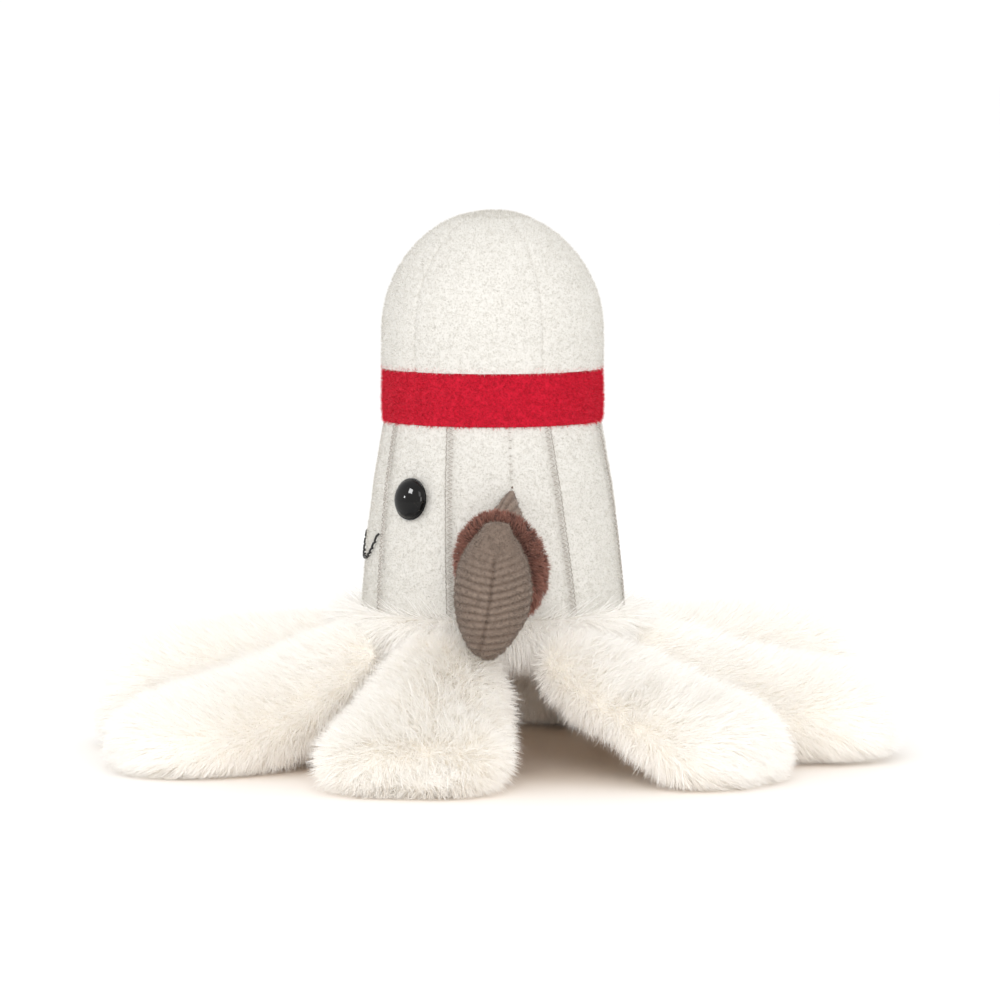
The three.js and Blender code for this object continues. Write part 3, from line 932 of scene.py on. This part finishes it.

# %% [markdown]
# ## Corduroy
# Corduroy has rows of cut pile, its wales. They are real ridges here: the skin's points move along their
# normals by a rounded wave, and a coat of very short fibres softens them. The colour reads the same wave,
# written on the mesh as an attribute, and paints shade into the valleys and into the mitten's drawn-in seam,
# so the valleys stay dark from every side.

# %% Corduroy finish
corduroy, tree, shader = finish_of("corduroy", 0.85, 0.25, 0.4, specular=0.15)
wale_painted_shade = add(tree, "ShaderNodeAttribute", attribute_name="wale")
place = add(tree, "ShaderNodeTexCoord").outputs["Object"]
mottle = add(tree, "ShaderNodeTexNoise", {"Vector": place, "Scale": 700.0, "Detail": 4.0})
grain = add(tree, "ShaderNodeMath", {0: mottle.outputs["Fac"], 1: 0.45}, operation="MULTIPLY")
wale_shade_and_grain = add(tree, "ShaderNodeMath", {0: wale_painted_shade.outputs["Fac"], 1: grain.outputs[0]}, operation="ADD")
# Low wale values turn dark here: painted shade in the valleys between wales and in the seam. The mottle is
# the cloth's own grain.
colour_with_painted_shade = ramp(tree, wale_shade_and_grain.outputs[0], [(0.15, (0.118, 0.082, 0.062)), (0.62, (0.205, 0.153, 0.122)),
                                      (1.0, (0.28, 0.220, 0.178))])
tree.links.new(colour_with_painted_shade, shader.inputs["Base Color"])
fuzz = add(tree, "ShaderNodeBump", {"Height": mottle.outputs["Fac"], "Strength": 0.5, "Distance": 0.0004})
tree.links.new(fuzz.outputs["Normal"], shader.inputs["Normal"])
CORDUROY_NAP = pile("corduroy nap", (0.13, 0.095, 0.074), (0.36, 0.285, 0.232), (0.20, 0.150, 0.120),
                    0.8, 0.2)

WALE = 2.15 * MM


def ribbed(made, run, height, seam=None):
    """Raises wales where run(p) passes whole widths, and writes them on the mesh as a painted shade value
    that is dark in the valleys and where the seam draws the cloth in. run(p) also gives how strongly they
    stand there, and seam(p) how far the cloth is drawn in."""
    mesh = made.data
    count = len(mesh.vertices)
    places, normals = np.zeros(count * 3), np.zeros(count * 3)
    mesh.vertices.foreach_get("co", places)
    mesh.vertices.foreach_get("normal", normals)
    places, normals = places.reshape(-1, 3), normals.reshape(-1, 3)
    stray = np.array([noise.noise(Vector(p) * 160) for p in places]) * 0.4 * MM
    ran, strong = np.array([run(Vector(p)) for p in places]).T
    crown = np.abs(np.sin(np.pi * (ran + stray) / WALE)) ** 0.7
    crown = 0.65 + (crown - 0.65) * strong
    drawn = np.array([seam(Vector(p)) for p in places]) if seam else np.zeros(count)
    places = places + normals * ((crown - 0.6) * height - drawn)[:, None]
    mesh.vertices.foreach_set("co", places.reshape(-1))
    # The wale value is painted shade: low in the valleys and lower still where the seam draws the cloth in.
    values = mesh.attributes.new("wale", "FLOAT", "POINT")
    values.data.foreach_set("value", (crown * 0.6 - drawn / MM * 0.5).astype(np.float32))
    mesh.update()
    mesh.shade_smooth()


# %% [markdown]
# ## Sleeves, cuffs and mittens
# Each arm is a stub of sleeve, a cuff of brown fur and a hanging mitten, which is two leaves of
# corduroy sewn together down the middle of its outer side. The sleeve and the mitten start from their
# solids, get even cells and then their wales. The mitten and the cuff are also made a little taller,
# since soft cloth stands out past the seam that holds it.

# %% Arms
ARM_WAY = Vector((0.854, -0.457, -0.244)).normalized()
NAP_LONG = 0.9 * MM
SLEEVE_WALES = 20
MITTEN_TALLER, CUFF_TALLER = 1.025, 1.25
CUFF_MOVE = Vector((0, 1.3 * MM, -1.4 * MM))

for side, sign in (("left", 1), ("right", -1)):
    mirror = Vector((sign, 1, 1))
    way = ARM_WAY * mirror
    sleeve = even_skin(f"sleeve_{side}", f"arm_{side}_sleeve", 1.0 * MM, 0.1 * MM)
    finer(sleeve)
    low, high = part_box(f"arm_{side}_sleeve")
    middle = (Vector(low) + Vector(high)) / 2

    def sleeve_wales(p, middle=middle, way=way):
        """The wales run along the arm, and a whole number of them goes round it."""
        across = way.cross(UP).normalized()
        turn = math.atan2((p - middle).dot(across.cross(way)) / 1.8, (p - middle).dot(across))
        return turn / math.tau * SLEEVE_WALES * WALE, 1.0

    ribbed(sleeve, sleeve_wales, 0.5 * MM)
    dress(sleeve, corduroy, f"arm_{side}", "corduroy", [f"arm_{side}_sleeve"])

    mitten = even_skin(f"mitten_{side}", f"arm_{side}_mitten", 2.4 * MM, 0.2 * MM)
    stuff(mitten, 1.2 * MM)
    finer(mitten)
    finer(mitten)
    finer(mitten, relax=0.3)
    low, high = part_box(f"arm_{side}_mitten")
    foot = Vector((0, 0, low[2]))
    taller = Matrix.Diagonal((1, 1, MITTEN_TALLER, 1)) @ Matrix.Translation(-foot)
    mitten.data.transform(Matrix.Translation(foot) @ taller)
    middle = (Vector(low) + Vector(high)) / 2

    def seam_side(p, middle=middle):
        """How far a point is to one side of the mitten's slanting seam."""
        return p.y - (middle.y - 2.4 * MM + (p.z - middle.z) * 0.13)

    def mitten_wales(p, middle=middle, seam_side=seam_side):
        """The wales sag from the seam to both edges, and fade out towards the mitten's top."""
        share = (p.z - middle.z) / (20 * MM)
        sag = 0.22 + 0.2 * max(-0.6, share)
        return p.z - sag * abs(seam_side(p)), min(1.0, max(0.12, 1.0 - 1.6 * (share - 0.15)))

    def mitten_seam(p, middle=middle, sign=sign, seam_side=seam_side):
        """How far the seam draws the outer side in."""
        if (p.x - middle.x) * sign < 0 or p.z > middle.z + 10 * MM:
            return 0.0
        return 0.5 * MM * math.exp(-((seam_side(p) / (0.6 * MM)) ** 2))

    ribbed(mitten, mitten_wales, 0.45 * MM, mitten_seam)
    dress(mitten, corduroy, f"hand_{side}", "corduroy", [f"arm_{side}_mitten"])
    for skin, body, count, seed in ((sleeve, f"arm_{side}", 3500, 41), (mitten, f"hand_{side}", 20000, 42)):
        coat(f"{skin.name}_nap", [skin], CORDUROY_NAP, body, "corduroy", count, NAP_LONG, 0.13 * MM,
             any_way(seed), seed + (sign > 0), joints=1, rise=0.5, spread=0.3)

    cuff = even_skin(f"cuff_{side}", f"arm_{side}_cuff", 1.6 * MM, 1.9 * MM)
    finer(cuff)
    low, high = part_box(f"arm_{side}_cuff")
    centre = (Vector(low) + Vector(high)) / 2
    taller = Matrix.Diagonal((1, 1, CUFF_TALLER, 1)) @ Matrix.Translation(-centre)
    cuff.data.transform(Matrix.Translation(centre + CUFF_MOVE) @ taller)
    dress(cuff, BROWN_CLOTH, f"hand_{side}", "brown_fur", [f"arm_{side}_cuff"])

    def cuff_comb(places, normals, centre=centre, way=way):
        """The cuff's fur stands away from the arm and leans towards the hand."""
        away = places - np.array(centre)
        away -= (away @ np.array(way))[:, None] * np.array(way)
        return unit(away) * 0.8 + np.array(way) * 0.5

    coat(f"cuff_fur_{side}", [cuff], BROWN_FUR, f"hand_{side}", "brown_fur", 16000, 2.5 * MM, 0.20 * MM,
         cuff_comb, 60 + (sign > 0), joints=3, lock=1.5 * MM, lock_pull=0.5, rise=0.4, spread=0.25)
print("arms", f"{time.time() - began:.0f} s")

# %% [markdown]
# ## What is sewn up inside
# The filling, the pouch of pellets and the eyes' washers stay as the solids they are, out of sight,
# with finishes of their own.

# %% Inner pieces
for node, finish in (("body_stuffing", FILLING), ("bean_pouch", LINING), ("eye_washer_left", FILLING),
                     ("eye_washer_right", FILLING)):
    shown = frame["nodes"][node]
    shown.data.materials.clear()
    shown.data.materials.append(finish)

# %% [markdown]
# ## The last look
# The triangles of all the shown pieces are counted and printed.

# %% Sizes and the end
triangles = 0
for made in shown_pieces():
    made.data.calc_loop_triangles()
    triangles += len(made.data.loop_triangles)
print("triangles", triangles, f"{time.time() - began:.0f} s")
